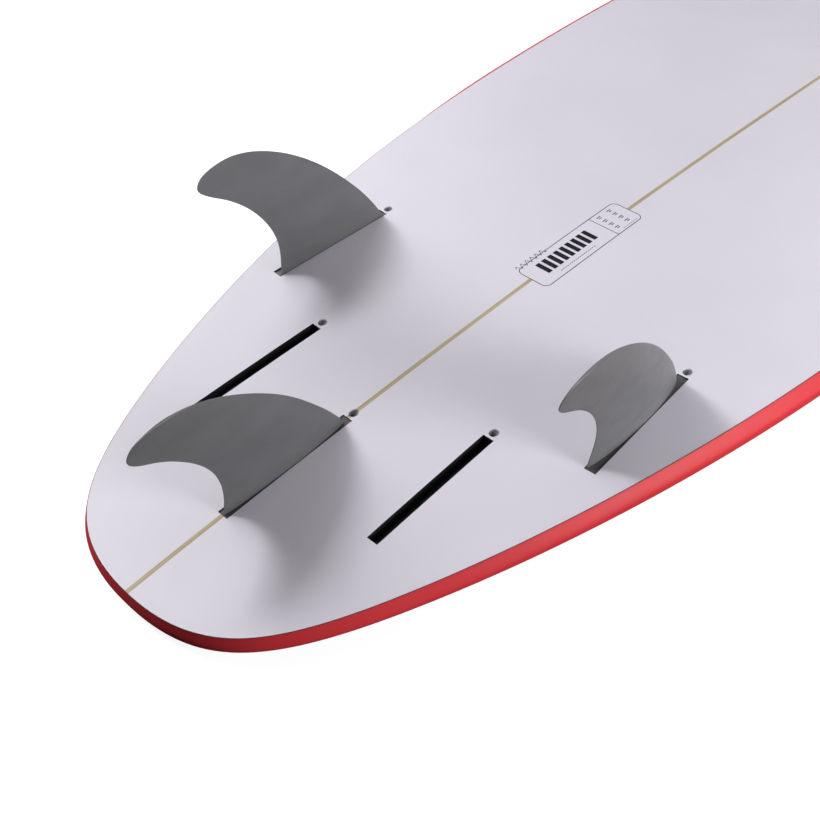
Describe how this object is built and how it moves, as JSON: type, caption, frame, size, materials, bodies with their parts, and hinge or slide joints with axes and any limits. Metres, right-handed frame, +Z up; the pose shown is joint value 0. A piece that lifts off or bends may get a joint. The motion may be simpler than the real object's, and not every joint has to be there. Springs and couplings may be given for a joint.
{
  "type": "surfboard",
  "caption": "Foam-core surfboard, deck down: concave white bottom with a wooden stringer line, red rails, slotted fin boxes, lift-out fins and their grub screws.",
  "frame": {"origin": "centre of the bounding box in plan, on the floor under the resting nose and tail tips", "axes": "+Z up, out of the board's bottom; +X from tail to nose; +Y to the left of the nose direction with the fins up"},
  "size_m": [1.881, 0.5212, 0.1683],
  "materials": {
    "core_foam": "expanded bead foam",
    "stringer_wood": "sanded",
    "bottom_white": "gloss resin over white",
    "rail_red": "gloss resin over red",
    "deck_white": "gloss resin over white",
    "box_plastic": "moulded",
    "bed_foam": "hard foam",
    "fin_plastic": "satin moulded",
    "screw_steel": "stainless",
    "plug_plastic": "moulded",
    "vent_plastic": "moulded",
    "seal_rubber": "moulded",
    "membrane_fabric": "porous",
    "label_paper": "printed under resin"
  },
  "bodies": {
    "board": {"core_left": "core_foam", "core_right": "core_foam", "stringer": "stringer_wood", "bottom_skin": "bottom_white", "rail_skin": "rail_red", "deck_skin": "deck_white", "label": "label_paper", "leash_cup": "plug_plastic", "leash_bar": "screw_steel", "vent_body": "vent_plastic", "vent_seal": "seal_rubber", "vent_membrane": "membrane_fabric", "fin_box_left_front": "box_plastic", "box_bed_left_front": "bed_foam", "fin_box_right_front": "box_plastic", "box_bed_right_front": "bed_foam", "fin_box_left_rear": "box_plastic", "box_bed_left_rear": "bed_foam", "fin_box_right_rear": "box_plastic", "box_bed_right_rear": "bed_foam", "fin_box_center": "box_plastic", "box_bed_center": "bed_foam"},
    "fin_left": {"fin_left": "fin_plastic"},
    "fin_right": {"fin_right": "fin_plastic"},
    "fin_center": {"fin_center": "fin_plastic"},
    "grub_screw_left_front": {"grub_screw_left_front": "screw_steel"},
    "grub_screw_right_front": {"grub_screw_right_front": "screw_steel"},
    "grub_screw_left_rear": {"grub_screw_left_rear": "screw_steel"},
    "grub_screw_right_rear": {"grub_screw_right_rear": "screw_steel"},
    "grub_screw_center": {"grub_screw_center": "screw_steel"},
    "vent_screw": {"vent_screw": "plug_plastic"}
  },
  "joints": [
    {"name": "fin_left_lift_out", "type": "slide", "parent": "board", "child": "fin_left", "axis": [-0.0998, 0.0977, 0.9902], "range_m": [0, 0.06]},
    {"name": "fin_right_lift_out", "type": "slide", "parent": "board", "child": "fin_right", "axis": [-0.0998, -0.0977, 0.9902], "range_m": [0, 0.06]},
    {"name": "fin_center_lift_out", "type": "slide", "parent": "board", "child": "fin_center", "axis": [-0.1342, 0, 0.991], "range_m": [0, 0.06]},
    {"name": "grub_screw_left_front_turn", "type": "hinge", "parent": "board", "child": "grub_screw_left_front", "pos_m": [-0.55573, 0.15329, 0.06428], "axis": [0.4102, 0.059, 0.9101], "range_deg": [0, 720]},
    {"name": "grub_screw_right_front_turn", "type": "hinge", "parent": "board", "child": "grub_screw_right_front", "pos_m": [-0.55573, -0.15329, 0.06428], "axis": [0.4102, -0.059, 0.9101], "range_deg": [0, 720]},
    {"name": "grub_screw_left_rear_turn", "type": "hinge", "parent": "board", "child": "grub_screw_left_rear", "pos_m": [-0.69161, 0.08824, 0.04926], "axis": [0.3883, 0.0514, 0.9201], "range_deg": [0, 720]},
    {"name": "grub_screw_right_rear_turn", "type": "hinge", "parent": "board", "child": "grub_screw_right_rear", "pos_m": [-0.69161, -0.08824, 0.04926], "axis": [0.3883, -0.0514, 0.9201], "range_deg": [0, 720]},
    {"name": "grub_screw_center_turn", "type": "hinge", "parent": "board", "child": "grub_screw_center", "pos_m": [-0.74217, 0, 0.04298], "axis": [0.3793, 0, 0.9253], "range_deg": [0, 720]},
    {"name": "vent_screw_turn", "type": "hinge", "parent": "board", "child": "vent_screw", "pos_m": [0.20917, 0.03, 0.04105], "axis": [0.0388, 0.0095, -0.9992], "range_deg": [0, 1080]}
  ]
}
